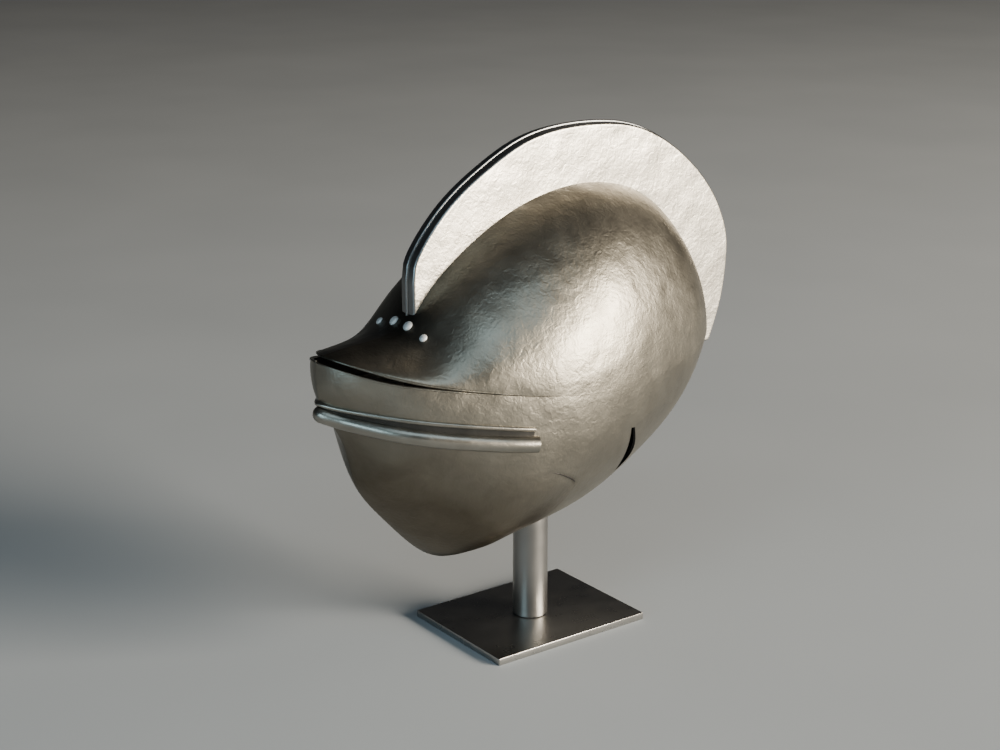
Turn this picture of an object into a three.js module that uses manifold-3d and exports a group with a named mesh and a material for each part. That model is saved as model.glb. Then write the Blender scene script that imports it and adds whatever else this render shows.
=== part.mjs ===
// Closed morion helmet on its display stand: a raised steel skull with a hollow
// comb and an upswept peak, a fixed face plate with two half-round mouldings,
// four rivets, and a round post on a rectangular base plate.
// Millimetres, +Z up, front of the helmet towards -Y, wearer's left towards +X.
// The origin is the centre of the base plate's underside.
import * as THREE from 'three';
import { ParametricGeometry } from 'three/addons/geometries/ParametricGeometry.js';
import { mergeVertices } from 'three/addons/utils/BufferGeometryUtils.js';
import Module from 'manifold-3d';

const wasm = await Module();
wasm.setup();

// ---- driving dimensions ----------------------------------------------------
const SHEET = 2; // thickness of skull, face plate and comb walls
const GAP = 0.3; // clearance between neighbouring pieces

const BASE = { x: 105, y: 135, thick: 5.5 };
const POST = { radius: 13, top: 317, crown: 5, crownSteps: 5, sides: 28 };

const COMB = { thick: 16, edgeRound: 3.5, bevelSteps: 3, curveSegments: 2 };
const MOULDING = { sides: 10, steps: 28, pathSteps: 14 };
const RIVET = {
  headHeight: 0.55, // of the head's radius
  shankRadius: 1.4,
  holeRadius: 1.7,
  shankLength: 4,
  drillLength: 16,
  seatDepth: 3,
  domeSteps: 4,
  sides: 12,
};

const STATIONS = { outer: 34, inner: 22 };
const RING = { outer: 32, inner: 24 };
const CUT_SEGMENTS = { seam: 4, rim: 8 };
const WELD = 1e-4; // points closer than this are one point
const ON_MIDDLE = 0.02; // points this close to the middle plane lie on it
// Stations whose edge line keeps its wall on the underside of the peak, and
// stations of the prow that stand in front of the peak.
const PEAK_STATIONS = 6;
const PROW_STATIONS = 2;
// How a place on the body is found from its coordinates.
const SITE_SEARCH = { station: 0.3, rounds: 60, stationGain: 0.001, turnGain: 0.008, step: 0.004 };
const LINE_SEARCH = { first: 0.005, last: 0.6, rounds: 40 };

// ---- lines of the helmet body ------------------------------------------------
// Edge line: x is the half width, running from the tip of the peak, round the
// widest level of the helmet, to the middle of the back.
const EDGE_LINE = [
  [0, -175.5, 238], [13.5, -171, 236.2], [27, -160.5, 232.8], [43.5, -142.5, 227],
  [61, -116, 219.5], [76.5, -82.5, 212.5], [88, -45, 207.5], [92.3, -4, 205],
  [88, 37.5, 204], [77, 75, 206.5], [64, 106, 211], [44, 130.5, 217.5],
  [20, 144, 223.5], [0, 148.5, 226.5],
];
// Top line: the ridge of the peak and the crown, in the plane of symmetry.
const TOP_LINE = [
  [0, -175.5, 238], [0, -166.5, 239.2], [0, -154, 240.4], [0, -135, 242],
  [0, -113, 249.5], [0, -91, 275.5], [0, -49, 306.5], [0, -6, 325],
  [0, 38, 331.5], [0, 77, 325.5], [0, 105, 310], [0, 128, 282],
  [0, 142, 254], [0, 148.5, 226.5],
];
// Bottom line: the prow of the face plate, the chin and the nape.
const BOTTOM_LINE = [
  [0, -175.5, 236], [0, -175.8, 216], [0, -175, 198], [0, -160.3, 171],
  [0, -151.3, 139.5], [0, -126.4, 106.8], [0, -90.3, 74.5], [0, -56, 80],
  [0, -1, 90], [0, 43, 107], [0, 82, 128], [0, 114, 155],
  [0, 137, 188], [0, 148.5, 226.5],
];
// Roundness of the sections at each station: x shapes the ridge above the edge
// line, y the turn at the edge line and z the ridge below it. 2 is an ellipse
// and 1 a flat facet.
const ROUNDNESS = [
  [1.15, 1.15, 1.3], [1.15, 1.15, 1.3], [1.2, 1.2, 1.3], [1.35, 1.35, 1.3],
  [1.6, 1.6, 1.3], [1.8, 1.9, 1.3], [1.8, 2, 1.65], [1.8, 2, 2],
  [1.8, 2, 2], [1.8, 2, 2], [1.8, 2, 2], [1.8, 2, 2],
  [1.8, 2, 2], [1.8, 2, 2],
];
// How far the face plate stands in front of the peak, station by station.
const FACE_STEP = [4.5, 4.5, 5, 4.5, 3, 1.5, 0.5, 0, 0, 0, 0, 0, 0, 0];

// ---- outlines seen from the side, as [y, z] ----------------------------------
const SIDE = 130; // half length of a cut made right through the helmet
// The seam between the skull and the face plate rises forward from the joint.
const SEAM = { back: -19.5, height: 205.2, slope: 0.07, sweep: 0.0009 };
// Along the seam: [y, depth of the peak's turned edge, height of the sight].
const SIGHT = [
  [-60, 0, 0.4], [-97.5, 0.7, 0.5], [-121, 1.8, 0.9], [-142, 2.2, 2.7], [-157, 1.5, 4.2],
  [-175, 1, 4.4], [-190, 1, 4.4],
];
const JOINT_LINE = [[-14, 180], [-13, 150], [-22, 118], [-34, 84]];
const NECK_RIM = [
  [-96, 64], [-92, 72], [-86, 79], [-78, 85.5], [-66, 89.5], [-45, 92], [-22, 96.5],
  [5, 105.5], [28, 114], [42, 117.5], [56, 119.3], [70, 119.5],
];
const NECK_FLOOR = 40;
// The vent is a crescent between a front and a rear edge, both from the top down.
const VENT_FRONT = [[24.5, 170], [26.5, 161], [27.8, 153], [28.5, 146], [28.8, 138], [29, 130.5]];
const VENT_REAR = [[28.5, 169.5], [34, 159], [38.5, 149], [39, 140], [35.5, 134], [29, 130.5]];
const VENT_SEGMENTS = 3;

const COMB_FRONT = [[-108, 236], [-108.3, 279], [-107, 289.5]];
const COMB_CREST = [
  [-100, 303], [-76.5, 329.3], [-43, 352.3], [-9.5, 367.8], [25, 373.6], [60.5, 373],
  [97, 365.3], [134.5, 343.8], [165, 313.5], [180.5, 285], [184.6, 261], [180.8, 227],
  [172.5, 201],
];
const COMB_TAIL = [[166.5, 190.5], [156, 191.5], [125, 193]];

// Height of each moulding: it starts at `back` and rises forward to the prow.
// At the prow it stands out by `boss`.
const UPPER_MOULDING = {
  back: -61,
  height: 186.2,
  slope: 0.153,
  sweep: 0,
  radius: 1.8,
  boss: 2,
};
const LOWER_MOULDING = {
  back: -58.5,
  height: 175.2,
  slope: 0.11,
  sweep: 0.0005,
  radius: 6,
  boss: 5,
};
const BOSS_WIDTH = 9;
const BOSS_DIRECTION = [0, -0.87, 0.5];

// Rivets in pairs at the foot of the comb: place across and along the helmet.
const RIVETS = [
  { name: 'inner', x: 8.3, y: -112.4, radius: 4.2 },
  { name: 'outer', x: 27, y: -112, radius: 3.4 },
];

// ---- materials -----------------------------------------------------------------
const steel = (color, roughness) =>
  new THREE.MeshStandardMaterial({ color, roughness, metalness: 1 });
const materials = {
  plate: steel(0x9a958a, 0.38),
  comb: steel(0xb5b0a4, 0.42),
  moulding: steel(0xa8a396, 0.34),
  rivet: steel(0xe4e2dc, 0.25),
  post: steel(0xa9a8a4, 0.22),
  base: new THREE.MeshStandardMaterial({ color: 0x2b2b2a, roughness: 0.35, metalness: 0.7 }),
};

// ---- helpers ---------------------------------------------------------------------
const vector = ([x, y, z]) => new THREE.Vector3(x, y, z);
const smoothLine = (points) => new THREE.CatmullRomCurve3(points, false, 'catmullrom', 0.5);

function toManifold(geometry) {
  const bare = geometry.clone();
  bare.deleteAttribute('normal');
  bare.deleteAttribute('uv');
  const merged = mergeVertices(bare, WELD);
  const corners = merged.index.array;
  const kept = [];
  for (let i = 0; i < corners.length; i += 3) {
    const [a, b, c] = corners.slice(i, i + 3);
    if (a !== b && b !== c && c !== a) kept.push(a, b, c);
  }
  return new wasm.Manifold(new wasm.Mesh({
    numProp: 3,
    vertProperties: new Float32Array(merged.attributes.position.array),
    triVerts: new Uint32Array(kept),
  }));
}

function toGeometry(solid) {
  const mesh = solid.getMesh();
  const geometry = new THREE.BufferGeometry();
  geometry.setAttribute('position', new THREE.BufferAttribute(mesh.vertProperties, 3));
  geometry.setIndex(new THREE.BufferAttribute(mesh.triVerts, 1));
  geometry.computeVertexNormals();
  return geometry;
}

// A line of the body moved inwards by a distance, in the plane it lies in.
// inward gives the direction at each end, where the line crosses the middle.
function insetLine(points, distance, plane) {
  const last = points.length - 1;
  return points.map((point, i) => {
    const before = vector(points[Math.max(i - 1, 0)]);
    const after = vector(points[Math.min(i + 1, last)]);
    const along = after.sub(before);
    if (i === 0 || i === last) along.copy(plane.endAlong[i === 0 ? 0 : 1]);
    const normal = plane.normal.clone().cross(along).normalize();
    return vector(point).addScaledVector(normal, distance);
  });
}

const X_AXIS = new THREE.Vector3(1, 0, 0);
const Z_AXIS = new THREE.Vector3(0, 0, 1);
const PLAN = { normal: Z_AXIS, endAlong: [X_AXIS, X_AXIS.clone().negate()] };
const TOP_PROFILE = {
  normal: X_AXIS.clone().negate(),
  endAlong: [new THREE.Vector3(0, 1, 0.3), Z_AXIS.clone().negate()],
};
const BOTTOM_PROFILE = { normal: X_AXIS, endAlong: [Z_AXIS.clone().negate(), Z_AXIS] };

// The three lines of a helmet body whose front is moved forward by `step` and
// whose surface is moved inwards by `inset`.
function bodyLines(step, inset) {
  const edge = insetLine(EDGE_LINE, inset, PLAN);
  const top = insetLine(TOP_LINE, inset, TOP_PROFILE);
  const bottom = insetLine(BOTTOM_LINE, inset, BOTTOM_PROFILE);
  const drop = Math.max(inset, 0);
  edge.forEach((point, i) => {
    point.x = Math.max(point.x, 0);
    if (i === 0 || i === edge.length - 1) point.x = 0;
    point.y -= step * FACE_STEP[i];
    if (i < PEAK_STATIONS) point.z -= drop;
    if (i < PROW_STATIONS) bottom[i].y -= step * FACE_STEP[i];
  });
  top[0].y = edge[0].y;
  return {
    edge: smoothLine(edge),
    top: smoothLine(top),
    bottom: smoothLine(bottom),
    roundness: smoothLine(ROUNDNESS.map(vector)),
  };
}

// A point of the body: station runs 0 to 1 from front to back, and turn runs
// once round the section, from the left edge over the top.
function bodyPoint(lines, station, turn, target) {
  const edge = lines.edge.getPoint(station);
  const round = lines.roundness.getPoint(station);
  const across = Math.cos(turn);
  const rise = Math.sin(turn);
  const above = rise >= 0;
  const far = (above ? lines.top : lines.bottom).getPoint(station);
  const lift = above ? Math.abs(rise) ** (2 / round.y) : Math.abs(rise);
  const spread = Math.abs(across) ** (2 / (above ? round.x : round.z));
  return target.set(
    Math.sign(across) * edge.x * spread,
    edge.y + (far.y - edge.y) * lift,
    edge.z + (far.z - edge.z) * lift,
  );
}

function bodySolid(step, inset, stations, ring) {
  const lines = bodyLines(step, inset);
  const place = (u, v, target) => {
    const turn = v >= 1 ? 0 : 2 * Math.PI * v;
    bodyPoint(lines, u, turn, target);
    if (Math.abs(target.x) < ON_MIDDLE) target.x = 0;
  };
  return toManifold(new ParametricGeometry(place, stations, ring));
}

// A solid right through the helmet from side to side, from a side outline.
function throughCut(shape, curveSegments = CUT_SEGMENTS.rim) {
  const geometry = new THREE.ExtrudeGeometry(shape, {
    depth: 2 * SIDE,
    bevelEnabled: false,
    curveSegments,
  });
  geometry.translate(0, 0, -SIDE);
  return toManifold(standUp(geometry));
}

// Turns a drawing made in the XY plane so that its x runs along Y, its y up Z.
function standUp(geometry) {
  geometry.applyMatrix4(new THREE.Matrix4().makeBasis(
    new THREE.Vector3(0, 1, 0),
    new THREE.Vector3(0, 0, 1),
    new THREE.Vector3(1, 0, 0),
  ));
  return geometry;
}

const flat = (points) => points.map(([y, z]) => new THREE.Vector2(y, z));

const group = new THREE.Group();
function addPiece(name, geometry, material) {
  const mesh = new THREE.Mesh(geometry, material);
  mesh.name = name;
  group.add(mesh);
  return mesh;
}

// ---- shells ------------------------------------------------------------------------
const skullForm = bodySolid(0, 0, STATIONS.outer, RING.outer);
const skullHollow = bodySolid(0, SHEET, STATIONS.inner, RING.inner);
const faceForm = bodySolid(1, 0, STATIONS.outer, RING.outer);
const faceHollow = bodySolid(1, SHEET, STATIONS.inner, RING.inner);

function seamHeight(y) {
  const run = SEAM.back - y;
  return SEAM.height + SEAM.slope * run + SEAM.sweep * run * run;
}

// Everything in front of the joint and below the seam, seen from the side.
// With a clearance it is the face plate's region, and without it the opening
// that the skull leaves for the plate.
function frontRegion(isPlate) {
  const gap = isPlate ? GAP : 0;
  const edge = SIGHT.map(([y, lip, sight]) => [y, seamHeight(y) - lip - (isPlate ? sight : 0)]);
  const corner = new THREE.Vector2(SEAM.back - gap, SEAM.height - gap);
  const line = [...JOINT_LINE].reverse().map(([y, z]) => [y - gap, z]);
  const reach = SIGHT[SIGHT.length - 1][0];
  const shape = new THREE.Shape();
  shape.moveTo(corner.x, corner.y);
  shape.splineThru(flat(edge));
  shape.lineTo(reach, NECK_FLOOR);
  shape.lineTo(line[0][0], NECK_FLOOR);
  shape.lineTo(line[0][0], line[0][1]);
  shape.splineThru([...flat(line.slice(1)), corner]);
  return throughCut(shape, CUT_SEGMENTS.seam);
}

function neckOpening() {
  const shape = new THREE.Shape();
  shape.moveTo(NECK_RIM[0][0], NECK_FLOOR);
  shape.lineTo(NECK_RIM[0][0], NECK_RIM[0][1]);
  shape.splineThru(flat(NECK_RIM.slice(1)));
  shape.lineTo(NECK_RIM[NECK_RIM.length - 1][0], NECK_FLOOR);
  shape.closePath();
  return throughCut(shape);
}

function ventShape() {
  const shape = new THREE.Shape();
  shape.moveTo(...VENT_FRONT[0]);
  shape.splineThru(flat(VENT_FRONT.slice(1)));
  shape.splineThru(flat([...VENT_REAR].reverse().slice(1)));
  shape.closePath();
  return shape;
}

// ---- rivets ----------------------------------------------------------------------------
// The place on the skull straight above (x, y), and the outward direction there.
function skullSite(lines, x, y) {
  let { station } = SITE_SEARCH;
  let turn = Math.PI / 2;
  const point = new THREE.Vector3();
  for (let i = 0; i < SITE_SEARCH.rounds; i += 1) {
    bodyPoint(lines, station, turn, point);
    station += (y - point.y) * SITE_SEARCH.stationGain;
    turn -= (x - point.x) * SITE_SEARCH.turnGain;
  }
  const { step } = SITE_SEARCH;
  const along = new THREE.Vector3();
  const round = new THREE.Vector3();
  bodyPoint(lines, station + step, turn, along);
  bodyPoint(lines, station, turn + step, round);
  const normal = along.sub(point).cross(round.sub(point)).normalize();
  if (normal.z < 0) normal.negate();
  return { point: point.clone(), normal };
}

function rivetGeometry(radius) {
  const height = radius * RIVET.headHeight;
  const profile = [new THREE.Vector2(0, -RIVET.shankLength)];
  profile.push(new THREE.Vector2(RIVET.shankRadius, -RIVET.shankLength));
  profile.push(new THREE.Vector2(RIVET.shankRadius, GAP));
  for (let i = 0; i < RIVET.domeSteps; i += 1) {
    const angle = (Math.PI / 2) * (i / RIVET.domeSteps);
    profile.push(new THREE.Vector2(radius * Math.cos(angle), GAP + height * Math.sin(angle)));
  }
  profile.push(new THREE.Vector2(0, GAP + height));
  const geometry = new THREE.LatheGeometry(profile, RIVET.sides);
  geometry.rotateX(Math.PI / 2);
  return geometry;
}

const skullLines = bodyLines(0, 0);
const rivetSites = RIVETS.flatMap((rivet) => [1, -1].map((side) => {
  const site = skullSite(skullLines, rivet.x, rivet.y);
  site.point.x *= side;
  site.normal.x *= side;
  const label = `rivet_${rivet.name}_${side > 0 ? 'left' : 'right'}`;
  return { label, radius: rivet.radius, ...site };
}));

function standOn(geometry, site) {
  geometry.applyQuaternion(new THREE.Quaternion().setFromUnitVectors(Z_AXIS, site.normal));
  geometry.translate(site.point.x, site.point.y, site.point.z);
  return geometry;
}

// ---- skull and face plate ------------------------------------------------------------------
let skull = skullForm.subtract(skullHollow);
skull = skull.subtract(frontRegion(false));
skull = skull.subtract(neckOpening());
skull = skull.subtract(throughCut(ventShape(), VENT_SEGMENTS));
for (const site of rivetSites) {
  const { holeRadius, drillLength, sides } = RIVET;
  const hole = new THREE.CylinderGeometry(holeRadius, holeRadius, drillLength, sides);
  hole.rotateX(Math.PI / 2);
  skull = skull.subtract(toManifold(standOn(hole, site)));
  const seatRadius = site.radius + GAP;
  const seat = new THREE.CylinderGeometry(seatRadius, seatRadius, RIVET.seatDepth, sides);
  seat.rotateX(Math.PI / 2);
  seat.translate(0, 0, RIVET.seatDepth / 2);
  skull = skull.subtract(toManifold(standOn(seat, site)));
}
addPiece('skull', toGeometry(skull), materials.plate);

let facePlate = faceForm.subtract(faceHollow);
facePlate = facePlate.intersect(frontRegion(true));
facePlate = facePlate.subtract(neckOpening());
addPiece('face_plate', toGeometry(facePlate), materials.plate);

// ---- mouldings on the face plate -------------------------------------------------------------
// Follows a moulding's height line round the face plate, from its left end to
// the middle of the prow and back along the right side.
function mouldingPath(lines, line) {
  const height = (y) => {
    const run = line.back - y;
    return line.height + line.slope * run + line.sweep * run * run;
  };
  const point = new THREE.Vector3();
  const onLine = (station) => {
    let low = -Math.PI / 2;
    let high = 0;
    for (let i = 0; i < LINE_SEARCH.rounds; i += 1) {
      const turn = (low + high) / 2;
      bodyPoint(lines, station, turn, point);
      if (point.z > height(point.y)) high = turn;
      else low = turn;
    }
    return bodyPoint(lines, station, (low + high) / 2, point).clone();
  };
  // The station where the line crosses the prow, and the one where it ends.
  const search = (isBefore) => {
    let low = LINE_SEARCH.first;
    let high = LINE_SEARCH.last;
    for (let i = 0; i < LINE_SEARCH.rounds; i += 1) {
      const middle = (low + high) / 2;
      if (isBefore(middle)) low = middle;
      else high = middle;
    }
    return high;
  };
  const first = search((station) => {
    bodyPoint(lines, station, -Math.PI / 2, point);
    return point.z > height(point.y);
  });
  const last = search((station) => onLine(station).y < line.back);
  const half = [];
  for (let i = 1; i <= MOULDING.pathSteps; i += 1) {
    half.push(onLine(first + (last - first) * (i / MOULDING.pathSteps) ** 2));
  }
  const prow = bodyPoint(lines, first, -Math.PI / 2, point).clone();
  for (const place of [prow, ...half]) {
    const lift = line.boss * Math.exp(-((place.x / BOSS_WIDTH) ** 2));
    place.addScaledVector(vector(BOSS_DIRECTION), lift);
  }
  const mirrored = half.map((place) => new THREE.Vector3(-place.x, place.y, place.z));
  return [...mirrored.reverse(), prow, ...half];
}

function mouldingSolid(line) {
  const path = new THREE.CatmullRomCurve3(mouldingPath(faceLines, line));
  const section = new THREE.Shape();
  section.absarc(0, 0, line.radius, 0, 2 * Math.PI, false);
  const tube = new THREE.ExtrudeGeometry(section, {
    steps: MOULDING.steps,
    bevelEnabled: false,
    curveSegments: MOULDING.sides / 2,
    extrudePath: path,
  });
  return toManifold(tube);
}

const faceLines = bodyLines(1, 0);
const faceClear = bodySolid(1, -GAP, STATIONS.outer, RING.outer);
const lowerTube = mouldingSolid(LOWER_MOULDING);
const upperTube = mouldingSolid(UPPER_MOULDING);
addPiece('moulding_upper', toGeometry(upperTube.subtract(faceClear)), materials.moulding);
addPiece('moulding_lower', toGeometry(lowerTube.subtract(faceClear)), materials.moulding);

// ---- comb ------------------------------------------------------------------------------------
function combOutline() {
  const shape = new THREE.Shape();
  shape.moveTo(...COMB_FRONT[0]);
  shape.lineTo(...COMB_FRONT[1]);
  shape.splineThru(flat([COMB_FRONT[2], ...COMB_CREST, COMB_TAIL[0], COMB_TAIL[1]]));
  shape.lineTo(...COMB_TAIL[2]);
  shape.closePath();
  return shape;
}

// A slab of the comb's outline with rounded edges, all its faces moved inwards
// by `inset`.
function combSlab(inset) {
  const round = COMB.edgeRound - inset;
  const depth = COMB.thick - 2 * COMB.edgeRound;
  const geometry = new THREE.ExtrudeGeometry(combOutline(), {
    depth,
    bevelEnabled: true,
    bevelThickness: round,
    bevelSize: round,
    bevelOffset: -COMB.edgeRound,
    bevelSegments: COMB.bevelSteps,
    curveSegments: COMB.curveSegments,
  });
  geometry.translate(0, 0, -depth / 2);
  return toManifold(standUp(geometry));
}

const skullClear = bodySolid(0, -GAP, STATIONS.outer, RING.outer);
const comb = combSlab(0).subtract(combSlab(SHEET)).subtract(skullClear);
addPiece('comb', toGeometry(comb), materials.comb);

// ---- rivets ------------------------------------------------------------------------------------
for (const site of rivetSites) {
  const rivet = addPiece(site.label, rivetGeometry(site.radius), materials.rivet);
  rivet.position.copy(site.point);
  rivet.quaternion.setFromUnitVectors(Z_AXIS, site.normal);
}

// ---- stand ----------------------------------------------------------------------------------------
const plate = new THREE.BoxGeometry(BASE.x, BASE.y, BASE.thick);
addPiece('base_plate', plate, materials.base).position.z = BASE.thick / 2;

function postGeometry() {
  const profile = [new THREE.Vector2(0, BASE.thick + GAP)];
  profile.push(new THREE.Vector2(POST.radius, BASE.thick + GAP));
  for (let i = 0; i < POST.crownSteps; i += 1) {
    const angle = (Math.PI / 2) * (i / POST.crownSteps);
    profile.push(new THREE.Vector2(
      POST.radius * Math.cos(angle),
      POST.top - POST.crown + POST.crown * Math.sin(angle),
    ));
  }
  profile.push(new THREE.Vector2(0, POST.top));
  const geometry = new THREE.LatheGeometry(profile, POST.sides);
  geometry.rotateX(Math.PI / 2);
  return geometry;
}
addPiece('post', postGeometry(), materials.post);

export default group;
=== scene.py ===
"""Looks of the closed morion helmet and its display stand.

Each CAD node listed under frame is replaced by a finer mesh of the same
shape.  Shapes are worked out in millimetres and stored in metres.  +Z is up,
the front of the helmet is towards -Y and the wearer's left is towards +X.
"""

import math

import bmesh
import bpy
import numpy as np
from mathutils import Matrix, Vector


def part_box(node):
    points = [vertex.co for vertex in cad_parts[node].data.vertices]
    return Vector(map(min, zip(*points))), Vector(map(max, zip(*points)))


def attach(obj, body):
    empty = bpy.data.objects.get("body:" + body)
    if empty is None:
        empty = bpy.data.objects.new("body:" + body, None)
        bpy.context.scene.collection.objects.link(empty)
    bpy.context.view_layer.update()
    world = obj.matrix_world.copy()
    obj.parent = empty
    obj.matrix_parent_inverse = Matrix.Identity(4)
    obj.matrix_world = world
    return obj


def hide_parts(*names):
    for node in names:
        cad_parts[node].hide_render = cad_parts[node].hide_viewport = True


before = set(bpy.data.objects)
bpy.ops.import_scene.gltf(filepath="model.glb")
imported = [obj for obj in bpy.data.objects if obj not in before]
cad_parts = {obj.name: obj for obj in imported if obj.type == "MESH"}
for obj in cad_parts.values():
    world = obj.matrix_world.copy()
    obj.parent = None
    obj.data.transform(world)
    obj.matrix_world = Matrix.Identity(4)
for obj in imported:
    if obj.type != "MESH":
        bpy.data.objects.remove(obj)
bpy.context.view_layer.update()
scene = bpy.context.scene

MM = 0.001

# ---- shape of the helmet, in mm ---------------------------------------------
SHEET = 2.0
GAP = 0.3
EDGE_LINE = [
    (0, -175.5, 238), (13.5, -171, 236.2), (27, -160.5, 232.8), (43.5, -142.5, 227),
    (61, -116, 219.5), (76.5, -82.5, 212.5), (88, -45, 207.5), (92.3, -4, 205),
    (88, 37.5, 204), (77, 75, 206.5), (64, 106, 211), (44, 130.5, 217.5),
    (20, 144, 223.5), (0, 148.5, 226.5)]
TOP_LINE = [
    (0, -175.5, 238), (0, -166.5, 239.2), (0, -154, 240.4), (0, -135, 242),
    (0, -113, 249.5), (0, -91, 275.5), (0, -49, 306.5), (0, -6, 325),
    (0, 38, 331.5), (0, 77, 325.5), (0, 105, 310), (0, 128, 282),
    (0, 142, 254), (0, 148.5, 226.5)]
BOTTOM_LINE = [
    (0, -175.5, 236), (0, -175.8, 216), (0, -175, 198), (0, -160.3, 171),
    (0, -151.3, 139.5), (0, -126.4, 106.8), (0, -90.3, 74.5), (0, -56, 80),
    (0, -1, 90), (0, 43, 107), (0, 82, 128), (0, 114, 155),
    (0, 137, 188), (0, 148.5, 226.5)]
ROUNDNESS = [
    (1.15, 1.15, 1.3), (1.15, 1.15, 1.3), (1.2, 1.2, 1.3), (1.35, 1.35, 1.3),
    (1.6, 1.6, 1.3), (1.8, 1.9, 1.3), (1.8, 2, 1.65), (1.8, 2, 2),
    (1.8, 2, 2), (1.8, 2, 2), (1.8, 2, 2), (1.8, 2, 2),
    (1.8, 2, 2), (1.8, 2, 2)]
FACE_STEP = [4.5, 4.5, 5, 4.5, 3, 1.5, 0.5] + [0] * 7
SEAM = {"back": -19.5, "height": 205.2, "slope": 0.07, "sweep": 0.0009}
# Along the seam: y, depth of the peak's turned edge, height of the sight.
SIGHT = [
    (-19, 0, 0.25), (-60, 0, 0.35), (-97.5, 0.7, 0.5), (-121, 1.8, 0.9), (-142, 2.2, 2.7),
    (-157, 1.5, 4.2), (-175, 1, 4.4), (-190, 1, 4.4)]
JOINT_GAP = 0.03
JOINT_LINE = [(-19.5, 205.2), (-14, 180), (-13, 150), (-22, 118), (-34, 84)]
NECK_RIM = [
    (-96, 64), (-92, 72), (-86, 79), (-78, 85.5), (-66, 89.5), (-45, 92), (-22, 96.5),
    (5, 105.5), (28, 114), (42, 117.5), (56, 119.3), (70, 119.5)]
# Cuts reach down to this height and forward to this y, clear of the helmet.
NECK_FLOOR = 40
FRONT_LIMIT = -195
VENT_FRONT = [(24.5, 170), (26.5, 161), (27.8, 153), (28.5, 146), (28.8, 138), (29, 130.5)]
VENT_REAR = [(28.5, 169.5), (34, 159), (38.5, 149), (39, 140), (35.5, 134), (29, 130.5)]
# The short crescent step in the cheek, front to back.
CREASE = [(-62, 151.2), (-46.5, 151), (-34.5, 147), (-24, 141), (-17, 134.5)]
COMB_FRONT = [(-108, 236), (-108.3, 279), (-107, 289.5)]
COMB_CREST = [
    (-100, 303), (-76.5, 329.3), (-43, 352.3), (-9.5, 367.8), (25, 373.6), (60.5, 373),
    (97, 365.3), (134.5, 343.8), (165, 313.5), (180.5, 285), (184.6, 261), (180.8, 227),
    (172.5, 201)]
COMB_TAIL = [(166.5, 190.5), (156, 191.5), (125, 193)]
COMB_HALF = 8.0
# The crest has rounded corners and a fine half-round rib along its middle.
COMB_CORNER = 2.2
COMB_RIB = 1.2
UPPER_MOULDING = {"back": -61, "height": 186.2, "slope": 0.153, "sweep": 0, "boss": 2}
LOWER_MOULDING = {"back": -58.5, "height": 175.2, "slope": 0.11, "sweep": 0.0005, "boss": 5}
BOSS_WIDTH = 9.0
BOSS_DIRECTION = np.array((0, -0.87, 0.5))
# Each rivet: x, y and radius of its head.
RIVETS = {"inner": (8.5, -112.0, 3.7), "outer": (27.0, -112.0, 2.9)}
RIVET_DEPTH = 3
SIDE = 130
# The side opening lies inside these ranges of y and z.
VENT_ZONE = ((20, 45), (127, 173))
CREASE_DEPTH = 1.1

# ---- how finely the shapes are divided -----------------------------------------
SKULL_STATIONS, SKULL_TURNS = 236, 252
FACE_DENSE, FACE_COARSE, FACE_REAR = 210, 16, 0.62
INNER_STATIONS, INNER_TURNS = 90, 96
CLEARANCE_GRID = 120
MOULDING_STEPS = 150
EDGE_STEPS = 120
COMB_STEPS = 240
LINE_STEPS = 200
SEARCH_STEPS = 50
RIVET_SIDES, POST_SIDES = 40, 96


# ---- curves and surfaces ------------------------------------------------------
def smooth(points):
    """A curve with even curvature through the points.  Its parameter runs 0 to 1."""
    p = np.asarray(points, float)
    n = len(p)
    a = np.eye(n)
    rhs = np.zeros_like(p)
    for i in range(1, n - 1):
        a[i, i - 1:i + 2] = (1, 4, 1)
        rhs[i] = 6 * (p[i + 1] - 2 * p[i] + p[i - 1])
    bend = np.linalg.solve(a, rhs)

    def at(u):
        s = np.clip(np.asarray(u, float), 0, 1) * (n - 1)
        i = np.minimum(s.astype(int), n - 2)
        f = (s - i)[..., None]
        g = 1 - f
        return p[i] * g + p[i + 1] * f + ((f ** 3 - f) * bend[i + 1] + (g ** 3 - g) * bend[i]) / 6
    return at


def body_lines(step, inset=0.0):
    """The body's three lines and its roundness, stepped out by step sheets and moved in by inset."""
    def moved(points, normal, ends):
        p = np.asarray(points, float)
        out = p.copy()
        for i in range(len(p)):
            along = p[min(i + 1, len(p) - 1)] - p[max(i - 1, 0)]
            if i == 0:
                along = np.array(ends[0], float)
            if i == len(p) - 1:
                along = np.array(ends[1], float)
            side = np.cross(normal, along)
            out[i] += inset * side / np.linalg.norm(side)
        return out
    edge = moved(EDGE_LINE, (0, 0, 1), ((1, 0, 0), (-1, 0, 0)))
    top = moved(TOP_LINE, (-1, 0, 0), ((0, 1, 0.3), (0, 0, -1)))
    bottom = moved(BOTTOM_LINE, (1, 0, 0), ((0, 0, -1), (0, 0, 1)))
    edge[:, 0] = np.maximum(edge[:, 0], 0)
    edge[[0, -1], 0] = 0
    steps = step * np.array(FACE_STEP)
    edge[:, 1] -= steps
    edge[:6, 2] -= max(inset, 0)
    bottom[:2, 1] -= steps[:2]
    top[0, 1] = edge[0, 1]
    return {"edge": smooth(edge), "top": smooth(top), "bottom": smooth(bottom),
            "round": smooth(ROUNDNESS)}


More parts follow.
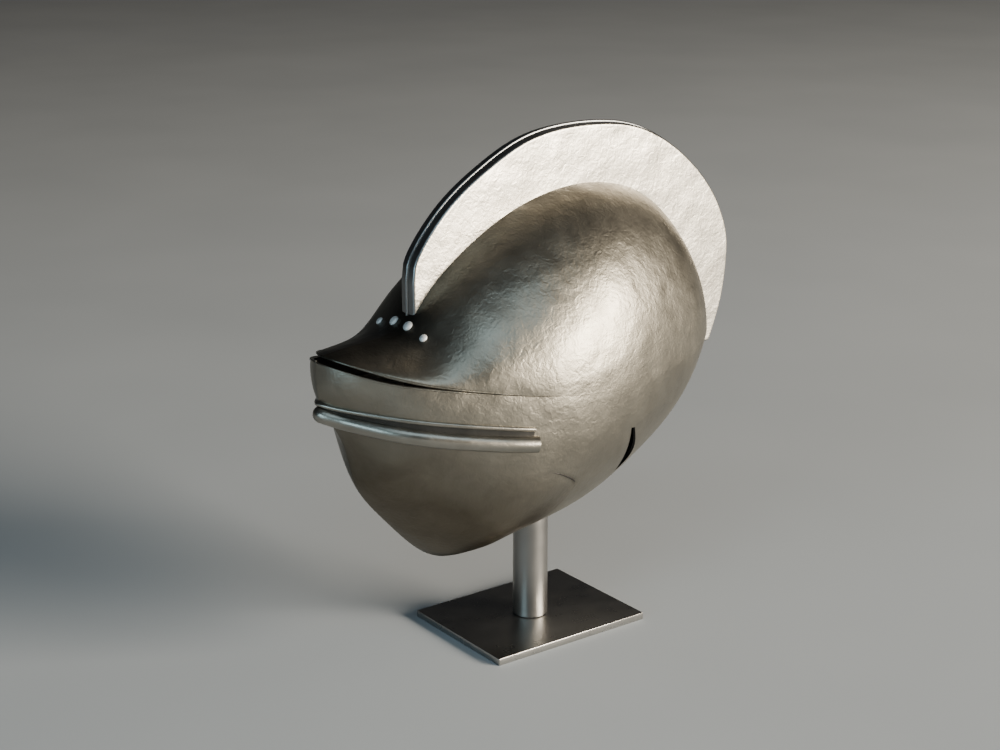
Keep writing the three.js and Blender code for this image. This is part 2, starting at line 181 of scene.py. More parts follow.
def body_points(lines, station, turn):
    """Points of the body: station 0 to 1 front to back, turn in radians from the left edge."""
    station, turn = np.broadcast_arrays(station, turn)
    edge = lines["edge"](station)
    r = lines["round"](station)
    c, s = np.cos(turn), np.sin(turn)
    above = s >= 0
    far = np.where(above[..., None], lines["top"](station), lines["bottom"](station))
    lift = np.where(above, np.abs(s) ** (2 / r[..., 1]), np.abs(s))
    spread = np.abs(c) ** (2 / np.where(above, r[..., 0], r[..., 2]))
    x = np.sign(c) * edge[..., 0] * spread
    y = edge[..., 1] + (far[..., 1] - edge[..., 1]) * lift
    z = edge[..., 2] + (far[..., 2] - edge[..., 2]) * lift
    return np.stack([x, y, z], -1)


def strip_faces(rows, sides):
    """Faces between rows of points that each run round a closed loop."""
    faces = []
    for i in range(rows - 1):
        for j in range(sides):
            k = (j + 1) % sides
            faces.append((i * sides + j, i * sides + k, (i + 1) * sides + k, (i + 1) * sides + j))
    return faces


def end_faces(rows, sides):
    return [tuple(range(sides)), tuple((rows - 1) * sides + j for j in range(sides))]


def unit(vectors):
    return vectors / np.linalg.norm(vectors, axis=-1, keepdims=True)


def closed_grid(lines, stations, turns, relief=None):
    """Vertices and faces of the closed body on the given stations and turns."""
    inner = stations[1:-1]
    grid = body_points(lines, inner[:, None], turns[None, :])
    front = body_points(lines, 0.0, 0.0)
    back = body_points(lines, 1.0, 0.0)
    if relief is not None:
        grid = relief(grid)
    n, m = grid.shape[:2]
    verts = np.vstack([grid.reshape(-1, 3), front[None], back[None]])
    faces = strip_faces(n, m)
    for j in range(m):
        k = (j + 1) % m
        faces.append((n * m, k, j))
        faces.append((n * m + 1, (n - 1) * m + j, (n - 1) * m + k))
    return verts, faces


def spread(low, high, dense_low, dense_high, dense, coarse):
    """Parameters from low to high, dense in the given part and coarse elsewhere."""
    parts = []
    if dense_low > low:
        parts.append(np.linspace(low, dense_low, coarse, endpoint=False))
    parts.append(np.linspace(dense_low, dense_high, dense, endpoint=dense_high >= high))
    if dense_high < high:
        parts.append(np.linspace(dense_high, high, coarse))
    return np.concatenate(parts)


# ---- mesh helpers ---------------------------------------------------------------
def new_object(name, verts, faces, materials=(), slots=None):
    mesh = bpy.data.meshes.new(name)
    mesh.from_pydata((np.asarray(verts, float) * MM).tolist(), [], [tuple(f) for f in faces])
    for material in materials:
        mesh.materials.append(material)
    if slots is not None:
        mesh.polygons.foreach_set("material_index", slots)
    mesh.validate()
    obj = bpy.data.objects.new(name, mesh)
    scene.collection.objects.link(obj)
    return obj


def face_outward(obj):
    bm = bmesh.new()
    bm.from_mesh(obj.data)
    bmesh.ops.recalc_face_normals(bm, faces=bm.faces)
    bm.to_mesh(obj.data)
    bm.free()


def shade(obj, angle=34):
    """Smooth shading with the edges sharper than angle kept crisp."""
    bm = bmesh.new()
    bm.from_mesh(obj.data)
    limit = math.radians(angle)
    for face in bm.faces:
        face.smooth = True
    for edge in bm.edges:
        edge.smooth = len(edge.link_faces) == 2 and edge.calc_face_angle() < limit
    bm.to_mesh(obj.data)
    bm.free()


def slab(name, outline):
    """A solid right through the helmet from side to side, from a side outline."""
    n = len(outline)
    verts = [(-SIDE, y, z) for y, z in outline] + [(SIDE, y, z) for y, z in outline]
    faces = [tuple(range(n)), tuple(range(2 * n - 1, n - 1, -1))]
    faces += [(i, (i + 1) % n, n + (i + 1) % n, n + i) for i in range(n)]
    obj = new_object(name, verts, faces)
    face_outward(obj)
    return obj


def cut(obj, cutter, operation="DIFFERENCE"):
    """Cuts the object with the cutter, which is then removed."""
    modifier = obj.modifiers.new("cut", "BOOLEAN")
    modifier.operation = operation
    modifier.solver = "EXACT"
    modifier.object = cutter
    graph = bpy.context.evaluated_depsgraph_get()
    mesh = bpy.data.meshes.new_from_object(obj.evaluated_get(graph))
    obj.modifiers.clear()
    old = obj.data
    obj.data = mesh
    bpy.data.meshes.remove(old)
    bpy.data.objects.remove(cutter)


def join(target, others):
    """Adds the meshes of the other objects to the target."""
    bm = bmesh.new()
    bm.from_mesh(target.data)
    for other in others:
        bm.from_mesh(other.data)
        bpy.data.objects.remove(other)
    bm.to_mesh(target.data)
    bm.free()


def tube(name, path, radius, sides):
    """A round bead along a path of points, with one radius per point."""
    along = unit(np.gradient(path, axis=0))
    side = unit(np.cross(along, (0.0, 0.0, 1.0)))
    lift = np.cross(side, along)
    angles = np.linspace(0, 2 * math.pi, sides, endpoint=False)[None, :, None]
    ring = side[:, None] * np.cos(angles) + lift[:, None] * np.sin(angles)
    verts = (path[:, None] + ring * radius[:, None, None]).reshape(-1, 3)
    obj = new_object(name, verts, strip_faces(len(path), sides) + end_faces(len(path), sides))
    face_outward(obj)
    return obj


def lathe(name, profile, sides):
    """A turned piece about +Z from pairs of radius and height, the first and last on the axis."""
    verts = [(0, 0, profile[0][1])]
    rings = profile[1:-1]
    for r, z in rings:
        for j in range(sides):
            a = 2 * math.pi * j / sides
            verts.append((r * math.cos(a), r * math.sin(a), z))
    verts.append((0, 0, profile[-1][1]))
    last = len(verts) - 1
    faces = []
    for j in range(sides):
        k = (j + 1) % sides
        faces.append((0, 1 + k, 1 + j))
        for i in range(len(rings) - 1):
            a, b = 1 + i * sides, 1 + (i + 1) * sides
            faces.append((a + j, a + k, b + k, b + j))
        top = 1 + (len(rings) - 1) * sides
        faces.append((top + j, top + k, last))
    obj = new_object(name, verts, faces)
    face_outward(obj)
    return obj


# ---- materials --------------------------------------------------------------------
# Painted shade in the corner along the foot of the comb ends at this height and fades over this depth, in
# mm.
COMB_SHADE_FOOT = 215
COMB_SHADE_FADE = 25
# Slant of the painted shade on the lower face plate.
CHIN_SHADE_SLANT = 0.55


class Nodes:
    """Short calls for building a material's node tree."""

    def __init__(self, name, metallic=1.0):
        self.material = bpy.data.materials.new(name)
        self.material.use_nodes = True
        self.tree = self.material.node_tree
        self.shader = self.tree.nodes["Principled BSDF"]
        self.shader.inputs["Metallic"].default_value = metallic
        self.place = self.add("ShaderNodeTexCoord").outputs["Object"]

    def add(self, kind, **settings):
        node = self.tree.nodes.new(kind)
        for key, value in settings.items():
            setattr(node, key, value)
        return node

    def link(self, a, b):
        self.tree.links.new(a, b)

    def noise(self, scale, detail=2.0, rough=0.5, distortion=0.0, place=None):
        node = self.add("ShaderNodeTexNoise")
        values = {"Scale": scale, "Detail": detail, "Roughness": rough, "Distortion": distortion}
        for socket, value in values.items():
            node.inputs[socket].default_value = value
        self.link(place or self.place, node.inputs["Vector"])
        return node.outputs["Fac"]

    def ramp(self, fac, low, high, start=0.3, stop=0.7):
        """Two colours, or two plain values, blended as fac goes from start to stop."""
        node = self.add("ShaderNodeValToRGB")
        for element, at, colour in zip(node.color_ramp.elements, (start, stop), (low, high)):
            element.position = at
            if not isinstance(colour, tuple):
                colour = (colour,) * 3
            element.color = (*colour, 1)
        self.link(fac, node.inputs["Fac"])
        return node.outputs["Color"]

    def apart(self):
        """The x, y and z of the place, as separate outputs."""
        node = self.add("ShaderNodeSeparateXYZ")
        self.link(self.place, node.inputs[0])
        return node.outputs

    def patchy(self, clear, scale, depth):
        """The clearness with soft patches of the given depth added."""
        swing = self.math("SUBTRACT", self.noise(scale, 3, 0.6, 0.5), 0.5)
        return self.math("ADD", clear, self.math("MULTIPLY", swing, depth))

    def comb_foot_painted_shade(self, tint, fade, colour):
        """The tint darkened in the corner along the foot of the comb, fading over the given mm: painted
        shade.
        """
        x, _, z = self.apart()
        aside = self.math("SUBTRACT", self.math("ABSOLUTE", x), COMB_HALF * MM)
        aside = self.math("DIVIDE", aside, fade * MM)
        below = self.math("DIVIDE", self.math("SUBTRACT", COMB_SHADE_FOOT * MM, z), COMB_SHADE_FADE * MM)
        clear = self.patchy(self.math("MAXIMUM", aside, below), 40, 0.3)
        return self.multiplied(tint, clear, colour)

    def multiplied(self, tint, clear, colour):
        """The tint times the colour where clear is 0, and unchanged where it is 1."""
        mix = self.add("ShaderNodeMix", data_type="RGBA", blend_type="MULTIPLY")
        mix.inputs[0].default_value = 1.0
        self.link(tint, mix.inputs[6])
        self.link(self.ramp(clear, colour, 1.0, 0.0, 1.0), mix.inputs[7])
        return mix.outputs[2]

    def chin_painted_shade(self, tint, centre, width, colour):
        """The tint with painted shade below and in front of a centre at y and z, fading over the width: the
        lower face plate darkened as if mirroring a dark floor.
        """
        _, y, z = self.apart()
        height = self.math("SUBTRACT", z, centre[1] * MM)
        behind = self.math("MULTIPLY", self.math("SUBTRACT", y, centre[0] * MM), CHIN_SHADE_SLANT)
        clear = self.math("DIVIDE", self.math("ADD", height, behind), width * MM)
        return self.multiplied(tint, self.patchy(clear, 26, 0.5), colour)

    def math(self, operation, a, b=None):
        node = self.add("ShaderNodeMath", operation=operation)
        for socket, value in zip(node.inputs, (a, b)):
            if value is None:
                continue
            if isinstance(value, (int, float)):
                socket.default_value = value
            else:
                self.link(value, socket)
        return node.outputs[0]

    def bump(self, height, distance, before=None):
        node = self.add("ShaderNodeBump")
        node.inputs["Strength"].default_value = 1.0
        node.inputs["Distance"].default_value = distance
        self.link(height, node.inputs["Height"])
        if before is not None:
            self.link(before, node.inputs["Normal"])
        return node.outputs["Normal"]


def hammered_steel(name, dark, light, rough, relief=1.0, chin_shade=None, corner=None):
    """Steel sheet raised by hammer and satin polished: wrinkled skin over soft dents."""
    m = Nodes(name)
    tint = m.ramp(m.noise(38, 4, 0.6, 0.6), dark, light)
    # Painted shade: the lower front of the face plate darker and browner.
    if chin_shade is not None:
        tint = m.chin_painted_shade(tint, *chin_shade)
    # Painted shade: darker in the corner along the foot of the comb.
    if corner is not None:
        tint = m.comb_foot_painted_shade(tint, *corner)
    m.link(tint, m.shader.inputs["Base Color"])
    m.link(m.ramp(m.noise(70, 4, 0.6, 0.3), *rough), m.shader.inputs["Roughness"])
    dents = m.bump(m.noise(42, 1, 0.4, 0.2), 0.0011 * relief)
    skin = m.bump(m.noise(230, 1.5, 0.45, 0.8), 0.00025 * relief, dents)
    fine = m.bump(m.noise(540, 1.5, 0.5, 0.6), 0.00009 * relief, skin)
    m.link(fine, m.shader.inputs["Normal"])
    return m.material


# Near-black steel for the inside: painted shade, darker than the plate so the inside and the vent slot read
# as in shadow.
def inside_steel():
    m = Nodes("inside_steel")
    m.link(m.ramp(m.noise(30, 5, 0.6), (0.045, 0.042, 0.04), (0.08, 0.075, 0.07)),
           m.shader.inputs["Base Color"])
    m.shader.inputs["Roughness"].default_value = 0.6
    m.link(m.bump(m.noise(90, 3), 0.001), m.shader.inputs["Normal"])
    return m.material


def polished_steel(name, colour, rough, scratch):
    m = Nodes(name)
    worn = tuple(c * 0.93 for c in colour)
    m.link(m.ramp(m.noise(60, 3), worn, colour), m.shader.inputs["Base Color"])
    m.link(m.ramp(m.noise(120, 3), *rough), m.shader.inputs["Roughness"])
    stretch = m.add("ShaderNodeMapping")
    stretch.inputs["Scale"].default_value = (1, 1, 0.06)
    m.link(m.place, stretch.inputs["Vector"])
    brushed = m.noise(900, 2, 0.5, 0.0, stretch.outputs["Vector"])
    m.link(m.bump(brushed, scratch), m.shader.inputs["Normal"])
    return m.material


def base_finish():
    m = Nodes("base_metal")
    m.link(m.ramp(m.noise(45, 4), (0.36, 0.35, 0.33), (0.41, 0.40, 0.38)),
           m.shader.inputs["Base Color"])
    m.link(m.ramp(m.noise(80, 4), 0.26, 0.32), m.shader.inputs["Roughness"])
    m.link(m.bump(m.noise(500, 2), 0.00006), m.shader.inputs["Normal"])
    return m.material


PLATE_DARK = (0.25, 0.228, 0.188)
PLATE_LIGHT = (0.32, 0.293, 0.242)
PLATE_ROUGH = (0.34, 0.42)
# plate_steel carries painted shade, darker in the corner along the foot of the comb.
plate_steel = hammered_steel("plate_steel", PLATE_DARK, PLATE_LIGHT, PLATE_ROUGH,
                             corner=(24, (0.32, 0.32, 0.32)))
# face_steel carries painted shade: darker and browner below and in front of the cheek, standing for dark
# reflections.
face_steel = hammered_steel("face_steel", PLATE_DARK, PLATE_LIGHT, PLATE_ROUGH,
                            chin_shade=((-95, 118), 64, (0.46, 0.425, 0.375)))
crest_steel = hammered_steel("crest_steel", (0.26, 0.262, 0.26), (0.32, 0.32, 0.318), (0.30, 0.36), 0.4)
# This near-black steel is painted shade for the hollow below the moulding's ridge.
groove_painted_shade = hammered_steel("groove_painted_shade", (0.06, 0.058, 0.054), (0.09, 0.086, 0.08), (0.40, 0.48), 0.4)
# This cream steel is painted light: far lighter than the plate, it stands in for the lamp light the comb's
# flat sides mirror; the crest band keeps near the plate's tone.
comb_steel = hammered_steel("comb_steel", (0.68, 0.63, 0.545), (0.80, 0.745, 0.65), (0.38, 0.46), 1.25)
moulding_steel = hammered_steel("moulding_steel", (0.30, 0.28, 0.24), (0.38, 0.355, 0.31), (0.29, 0.36), 0.5)
inner_steel = inside_steel()
post_steel = polished_steel("post_steel", (0.31, 0.30, 0.285), (0.37, 0.42), 0.000012)
rivet_steel = polished_steel("rivet_steel", (1.0, 0.99, 0.98), (0.68, 0.76), 0.00002)
base_metal = base_finish()


# ---- shells ----------------------------------------------------------------------------
def seam_height(y):
    run = SEAM["back"] - y
    return SEAM["height"] + SEAM["slope"] * run + SEAM["sweep"] * run * run


SIGHT_LINE = smooth(SIGHT)


def sight_at(y):
    """Depth of the peak's turned edge and height of the sight at y."""
    table = SIGHT_LINE(np.linspace(0, 1, 2 * LINE_STEPS))
    order = np.argsort(table[:, 0])
    lip = np.interp(y, table[order, 0], table[order, 1])
    slot = np.interp(y, table[order, 0], table[order, 2])
    return lip, slot


def front_outline(is_plate):
    """Side outline of the zone in front of the joint: the face plate's own, or the skull's cut."""
    gap = JOINT_GAP if is_plate else 0.0
    y = np.linspace(SEAM["back"] - gap, FRONT_LIMIT, 260)
    lip, slot = sight_at(y)
    z = seam_height(y) - lip - (slot if is_plate else 0)
    joint = smooth(JOINT_LINE)(np.linspace(1, 0, 50))[:-1]
    joint[:, 0] -= gap
    outline = list(zip(y, z))
    outline += [(FRONT_LIMIT, NECK_FLOOR), (joint[0][0], NECK_FLOOR)]
    outline += [tuple(p) for p in joint]
    return outline


def neck_outline():
    rim = smooth(NECK_RIM)(np.linspace(0, 1, 160))
    return [(rim[0][0], NECK_FLOOR)] + [tuple(p) for p in rim] + [(rim[-1][0], NECK_FLOOR)]


def vent_outline():
    share = np.linspace(0, 1, 40)
    front = smooth(VENT_FRONT)(share)
    rear = smooth(VENT_REAR)(share[::-1])[1:]
    return [tuple(p) for p in front] + [tuple(p) for p in rear]


def darken_vent(obj):
    """Gives the cut faces of the vent the near-black inside steel: painted shade, so the slot reads dark."""
    (y_low, y_high), (z_low, z_high) = VENT_ZONE
    for face in obj.data.polygons:
        y, z = face.center.y / MM, face.center.z / MM
        if y_low < y < y_high and z_low < z < z_high and abs(face.normal.x) < 0.4:
            face.material_index = 1


def crease_relief(grid):
    """Presses the cheek in below the short crescent step, fading out downwards and forwards."""
    line = smooth(CREASE)(np.linspace(0, 1, LINE_STEPS))
    y, z = grid[..., 1], grid[..., 2]
    above = z - np.interp(y, line[:, 0], line[:, 1])
    edge = 0.5 - 0.5 * np.tanh(above / 0.55)
    fade = np.exp(-np.clip(-above, 0, None) / 7.0)
    along = np.clip((y + 60) / 26, 0, 1) ** 1.5 * np.clip((-10 - y) / 8, 0, 1)
    out = grid.copy()
    out[..., 0] -= np.sign(grid[..., 0]) * CREASE_DEPTH * edge * fade * along
    return out


def body_shell(name, step, stations, turns, finish):
    """The whole body as a closed sheet, finished outside and near-black inside, the inside's darkness being
    painted shade.
    """
    outer_v, outer_f = closed_grid(body_lines(step), stations, turns, crease_relief)
    inner_s = np.linspace(0, 1, INNER_STATIONS)
    inner_t = np.linspace(0, 2 * math.pi, INNER_TURNS, endpoint=False)
    inner_v, inner_f = closed_grid(body_lines(step, SHEET), inner_s, inner_t)
    base = len(outer_v)
    verts = np.vstack([outer_v, inner_v])
    faces = outer_f + [tuple(base + k for k in reversed(f)) for f in inner_f]
    slots = [0] * len(outer_f) + [1] * len(inner_f)
    return new_object(name, verts, faces, (finish, inner_steel), slots)


skull = body_shell("skull_shell", 0, np.linspace(0, 1, SKULL_STATIONS),
                   np.linspace(0, 2 * math.pi, SKULL_TURNS, endpoint=False), plate_steel)
cut(skull, slab("front_cut", front_outline(False)))
cut(skull, slab("neck_cut", neck_outline()))
cut(skull, slab("vent_cut", vent_outline()))
darken_vent(skull)

face_stations = spread(0, 1, 0.0, FACE_REAR, FACE_DENSE, FACE_COARSE)
face_turns = spread(0, 2 * math.pi, math.pi, 2 * math.pi, FACE_DENSE, FACE_COARSE)[:-1]
face_plate = body_shell("face_shell", 1, face_stations, face_turns, face_steel)
cut(face_plate, slab("face_keep", front_outline(True)), "INTERSECT")
cut(face_plate, slab("neck_cut2", neck_outline()))

skull_lines = body_lines(0)
face_lines = body_lines(1)


def bisect(low, high, goes_low, steps):
    """Halves the range steps times, moving its low end to the middle where goes_low says so."""
    for _ in range(steps):
        middle = (low + high) / 2
        if goes_low(middle):
            low = middle
        else:
            high = middle
    return low, high


def is_above(height, point):
    return point[2] > height(point[1])


def on_height(lines, height, station):
    """The point of the body's left side at this station where z crosses height(y)."""
    low, high = bisect(-math.pi / 2, math.pi / 2,
                       lambda turn: not is_above(height, body_points(lines, station, turn)),
                       SEARCH_STEPS)
    return body_points(lines, station, (low + high) / 2)


def level_path(lines, height, back, count, first=None):
    """A path over the left side following height(y) from the middle of the prow to y=back."""
    if first is None:
        first = bisect(0.002, 0.6,
                       lambda s: is_above(height, body_points(lines, s, -math.pi / 2)),
                       SEARCH_STEPS)[1]
    last = bisect(first, 0.9, lambda s: on_height(lines, height, s)[1] < back, 40)[0]
    share = np.linspace(0, 1, count) ** 2
    return np.array([on_height(lines, height, first + (last - first) * s) for s in share])


def mirrored(path):
    other = path[1:] * (-1, 1, 1)
    return np.vstack([other[::-1], path])


# Rolled edges of the peak and of the face plate along the sight.
PROW_TIP = 0.004
peak_edge = level_path(skull_lines, lambda y: seam_height(y) - sight_at(y)[0] + 0.5,
                       -72, EDGE_STEPS, PROW_TIP)
plate_edge = level_path(face_lines, lambda y: seam_height(y) - sum(sight_at(y)) - 0.5,
                        -80, EDGE_STEPS, PROW_TIP)


def tapered(path, radius, ends):
    """One radius per point, thinning to nothing over the last few mm at both ends."""
    away = np.minimum(np.abs(path[:, 1] - path[0, 1]), np.abs(path[:, 1] - path[-1, 1]))
    return radius * np.clip(away / ends, 0.05, 1)


def crease_line():
    """Lays a thin near-black tube along the crescent step on both cheeks: a painted shadow line."""
    line = smooth(CREASE)(np.linspace(0, 1, 60))
    line = line[(line[:, 0] > -52) & (line[:, 0] < -18.5)]
    path = []
    for y, z in line:
        def at(station, z=z):
            return on_height(face_lines, lambda _: z, station)
        path.append(at(bisect(0.15, 0.8, lambda station, y=y: at(station)[1] < y, 40)[1]))
    path = crease_relief(np.array(path)[None])[0]
    share = np.linspace(0, 1, len(path))
    radius = 0.1 + 0.75 * np.sin(math.pi * share ** 1.7)
    pieces = []
    for side in (1, -1):
        piece = tube("crease_edge", path * (side, 1, 1), radius, 8)
        # The tube takes the near-black inside steel: painted shadow.
        for face in piece.data.polygons:
            face.material_index = 1
        pieces.append(piece)
    return pieces


peak_path = mirrored(peak_edge)
plate_path = mirrored(plate_edge)
join(skull, [tube("peak_roll", peak_path, tapered(peak_path, 0.85, 30), 10)])
join(face_plate, [tube("plate_roll", plate_path, tapered(plate_path, 0.7, 30), 10), *crease_line()])
for piece in (skull, face_plate):
    shade(piece)


# ---- mouldings ---------------------------------------------------------------------------
def moulding(name, line, profile, groove=()):
    """Sweeps a profile of [down, out] pairs along the plate.  groove names its sides that take the
    near-black painted shade.
    """
    def height(y):
        run = line["back"] - y
        return line["height"] + line["slope"] * run + line["sweep"] * run * run
    path = mirrored(level_path(face_lines, height, line["back"], MOULDING_STEPS))
    low = mirrored(level_path(face_lines, lambda y: height(y) - 3, line["back"], MOULDING_STEPS))
    lift = line["boss"] * np.exp(-(path[:, 0] / BOSS_WIDTH) ** 2)
    along = unit(np.gradient(path, axis=0))
    down = low - path
    down = unit(down - along * np.sum(down * along, axis=1, keepdims=True))
    out = unit(np.cross(along, down))
    if out[len(out) // 2][1] > 0:
        out = -out
    profile = np.asarray(profile, float)
    path = path + lift[:, None] * BOSS_DIRECTION
    n, m = len(path), len(profile)
    verts = path[:, None] + down[:, None] * profile[None, :, :1] + out[:, None] * profile[None, :, 1:]
    slots = [int(j in groove) for j in range(m)] * (n - 1) + [0, 0]
    obj = new_object(name, verts.reshape(-1, 3), strip_faces(n, m) + end_faces(n, m),
                     (moulding_steel, groove_painted_shade), slots)
    face_outward(obj)
    shade(obj, 50)
    return obj


def arc(cx, cy, rx, ry, start, stop, count):
    """Points of an ellipse's arc, angles in degrees."""
    a = np.radians(np.linspace(start, stop, count))
    return [(cx + rx * math.cos(t), cy + ry * math.sin(t)) for t in a]


# Below the ridge a hollow fillet runs down to the bead, given a near-black finish as painted shade.
ridge_profile = [(-1.7, -3.0)] + arc(0.0, 0.2, 1.6, 1.5, 180, 0, 12)
groove_sides = range(len(ridge_profile) - 3, len(ridge_profile) + 2)
ridge_profile += [(2.2, 0.16), (3.8, 0.14), (5.8, 0.16), (5.8, -3.0)]
bead_profile = arc(0, 0, 5.9, 5.6, 180, 0, 24) + [(5.9, -3.5), (-5.9, -3.5)]
moulding_upper = moulding("moulding_upper_fine", UPPER_MOULDING, ridge_profile, groove_sides)
moulding_lower = moulding("moulding_lower_fine", LOWER_MOULDING, bead_profile)


# ---- comb -------------------------------------------------------------------------------
def comb_outline():
    crest = smooth([COMB_FRONT[2], *COMB_CREST, COMB_TAIL[0], COMB_TAIL[1]])
    top = crest(np.linspace(0, 1, COMB_STEPS))
    foot = np.linspace(COMB_FRONT[0], COMB_FRONT[1], 20)
    tail = np.linspace(COMB_TAIL[1], COMB_TAIL[2], 14)[1:]
    return np.vstack([foot, top, tail])


def comb_mesh():
    """The comb's outline swept with its crest: a middle rib, two flats and rounded corners."""
    outline = comb_outline()
    along = unit(np.gradient(outline, axis=0))
    inward = np.stack([along[:, 1], -along[:, 0]], 1)
    half = []
    for a in np.radians(np.linspace(0, 90, 8)):
        half.append((COMB_RIB * math.sin(a), COMB_RIB * (1 - math.cos(a))))
    flat_edge = COMB_HALF - COMB_CORNER
    for share in np.linspace(0.1, 1, 8):
        half.append((COMB_RIB + (flat_edge - COMB_RIB) * share, COMB_RIB * (1 + 0.25 * share ** 2)))
    deep = half[-1][1]
    for a in np.radians(np.linspace(8, 90, 9)):
        half.append((flat_edge + COMB_CORNER * math.sin(a), deep + COMB_CORNER * (1 - math.cos(a))))
    rows = [(x, d) for x, d in reversed(half)] + [(-x, d) for x, d in half[1:]]
    n, m = len(outline), len(rows)
    verts = []
    for i in range(n):
        for x, d in rows:
            y, z = outline[i] + inward[i] * d
            verts.append((x, y, z))
    faces = []
    for i in range(n - 1):
        for j in range(m - 1):
            faces.append((i * m + j, i * m + j + 1, (i + 1) * m + j + 1, (i + 1) * m + j))
    # The comb's flat sides take the lighter comb steel, painted light; the crest band between the corners
    # takes the crest steel.
    corner = 3
    slots = [int(corner <= j < m - 1 - corner) for j in range(m - 1)] * (n - 1) + [0, 0, 0]
    faces.append(tuple(i * m for i in range(n)))
    faces.append(tuple(i * m + m - 1 for i in range(n))[::-1])
    faces.append(tuple(range(m)) + tuple((n - 1) * m + j for j in range(m - 1, -1, -1)))
    obj = new_object("comb_fine", verts, faces, (comb_steel, crest_steel), slots)
    face_outward(obj)
    return obj


comb = comb_mesh()
clear_v, clear_f = closed_grid(body_lines(0, -GAP), np.linspace(0, 1, CLEARANCE_GRID),
                               np.linspace(0, 2 * math.pi, CLEARANCE_GRID, endpoint=False))
cut(comb, new_object("skull_clear", clear_v, clear_f))
shade(comb, 40)


# ---- rivets ---------------------------------------------------------------------------------
def skull_site(x, y):
    """The point of the skull over x and y, and the outward normal there."""
    station, turn = 0.3, math.pi / 2
    for _ in range(80):
        p = body_points(skull_lines, station, turn)
        station += (y - p[1]) * 0.001
        turn -= (x - p[0]) * 0.008
    step = 0.003
    p = body_points(skull_lines, station, turn)
    a = body_points(skull_lines, station + step, turn) - p
    b = body_points(skull_lines, station, turn + step) - p
    n = unit(np.cross(a, b))
    return p, n if n[2] > 0 else -n


rivet_pieces = []
for label, (x, y, radius) in RIVETS.items():
    point, normal = skull_site(x, y)
    for side, word in ((1, "left"), (-1, "right")):
        height = radius * 0.55
        profile = [(0, -RIVET_DEPTH), (radius * 0.5, -RIVET_DEPTH), (radius * 0.5, GAP)]
        for a in np.linspace(0, math.pi / 2, 9)[:-1]:
            profile.append((radius * math.cos(a), GAP + height * math.sin(a)))
        profile.append((0, GAP + height))
        rivet = lathe(f"rivet_{label}_{word}_fine", profile, RIVET_SIDES)
        rivet.data.materials.append(rivet_steel)
        turn = Vector((0, 0, 1)).rotation_difference(Vector((normal[0] * side, normal[1], normal[2])))
        place = Matrix.Translation(Vector((point[0] * side, point[1], point[2])) * MM)
        rivet.data.transform(place @ turn.to_matrix().to_4x4())
        shade(rivet, 50)
        rivet_pieces.append((rivet, f"rivet_{label}_{word}"))


# ---- stand -----------------------------------------------------------------------------------
POST_CROWN = 5
post_low, post_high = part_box("post")
post_r = (post_high.x - post_low.x) / 2 / MM
post_z = (post_low.z / MM, post_high.z / MM)
post_profile = [(0, post_z[0]), (post_r - 0.5, post_z[0]), (post_r, post_z[0] + 0.5)]
shoulder = post_z[1] - POST_CROWN
for z in np.linspace(post_z[0] + 6, shoulder, 12):
    post_profile.append((post_r, z))
for a in np.linspace(0, math.pi / 2, 8)[1:-1]:
    post_profile.append((post_r * math.cos(a), shoulder + POST_CROWN * math.sin(a)))
post_profile.append((0, post_z[1]))
post = lathe("post_fine", post_profile, POST_SIDES)
post.data.materials.append(post_steel)
shade(post, 40)


def bevelled_box(name, low, high, radius):
    """A box in metres with rounded edges."""
    bm = bmesh.new()
    bmesh.ops.create_cube(bm, size=1)
    size = high - low
    bmesh.ops.scale(bm, vec=size, verts=bm.verts)
    bmesh.ops.translate(bm, vec=(low + high) / 2, verts=bm.verts)
    bmesh.ops.bevel(bm, geom=list(bm.edges), offset=radius, segments=3, profile=0.5, affect="EDGES")
    mesh = bpy.data.meshes.new(name)
    bm.to_mesh(mesh)
    bm.free()
    obj = bpy.data.objects.new(name, mesh)
    scene.collection.objects.link(obj)
    return obj


base = bevelled_box("base_plate_fine", *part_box("base_plate"), 0.5 * MM)
base.data.materials.append(base_metal)
shade(base, 40)

# ---- frame ------------------------------------------------------------------------------------
PIECES = [
    (skull, "skull", "plate_steel"), (face_plate, "face_plate", "plate_steel"),
    (comb, "comb", "comb_steel"), (moulding_upper, "moulding_upper", "moulding_steel"),
    (moulding_lower, "moulding_lower", "moulding_steel"), (post, "post", "post_steel"),
    (base, "base_plate", "base_metal")]
PIECES += [(piece, node, "rivet_steel") for piece, node in rivet_pieces]
for piece, node, slot in PIECES:
    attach(piece, "root")
    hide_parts(node)

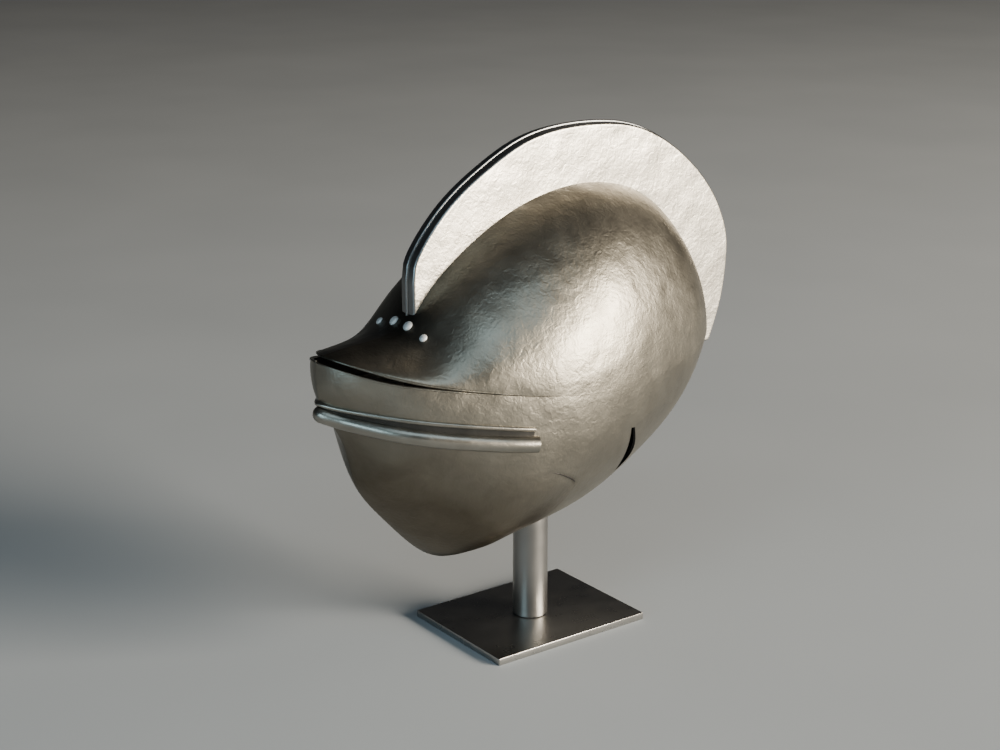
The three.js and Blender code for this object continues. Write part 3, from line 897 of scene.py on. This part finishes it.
# ---- studio -----------------------------------------------------------------------------------
FLOOR_HALF = 20000
corners = [(-1, -1), (1, -1), (1, 1), (-1, 1)]
floor = new_object("floor", [(x * FLOOR_HALF, y * FLOOR_HALF, 0) for x, y in corners], [(0, 1, 2, 3)])
paint = Nodes("floor", metallic=0.0)
paint.link(paint.ramp(paint.noise(3, 2), (0.39, 0.41, 0.43), (0.42, 0.44, 0.46)),
           paint.shader.inputs["Base Color"])
paint.shader.inputs["Roughness"].default_value = 0.8
floor.data.materials.append(paint.material)


def softbox(name, azimuth, elevation, distance, size, power, colour, roll=0):
    """A rectangular lamp aimed at the helmet.  Azimuth 0 is in front, 90 at the wearer's left."""
    lamp = bpy.data.lights.new(name, "AREA")
    lamp.shape = "RECTANGLE"
    lamp.size, lamp.size_y = size
    lamp.energy = power
    lamp.color = colour
    obj = bpy.data.objects.new(name, lamp)
    a, e = math.radians(azimuth), math.radians(elevation)
    away = Vector((math.sin(a) * math.cos(e), -math.cos(a) * math.cos(e), math.sin(e)))
    obj.location = Vector((0, 0, 0.2)) + away * distance
    aim = (-away).to_track_quat("-Z", "Y").to_matrix()
    obj.rotation_euler = (aim @ Matrix.Rotation(math.radians(roll), 3, "Z")).to_euler()
    scene.collection.objects.link(obj)


softbox("key", 121, 14, 5.6, (3.8, 1.5), 940, (1.0, 0.91, 0.77), 32)
softbox("fill", 62, 46, 2.4, (2.3, 1.2), 14, (0.62, 0.85, 1.0))
softbox("low", 14, 10, 2.4, (1.0, 0.8), 12, (0.56, 0.84, 1.0))
softbox("back", 200, 40, 2.4, (2.4, 1.2), 1.3, (1.0, 0.90, 0.74))

world = bpy.data.worlds.new("studio")
scene.world = world
world.use_nodes = True
sky = world.node_tree.nodes["Background"]
sky.inputs["Color"].default_value = (0.30, 0.31, 0.33, 1)
sky.inputs["Strength"].default_value = 0.09

# ---- camera ------------------------------------------------------------------------------------
VIEW_AZIMUTH = 53.60
VIEW_DOWN = 17.17
camera_data = bpy.data.cameras.new("camera")
camera_data.lens = 66.96
camera_data.sensor_width = 36
camera_data.clip_start = 0.05
camera_data.clip_end = 50
camera = bpy.data.objects.new("camera", camera_data)
camera.location = (1.0255, -0.7842, 0.5912)
camera.rotation_euler = (math.radians(90 - VIEW_DOWN), 0, math.radians(VIEW_AZIMUTH))
scene.collection.objects.link(camera)
scene.camera = camera
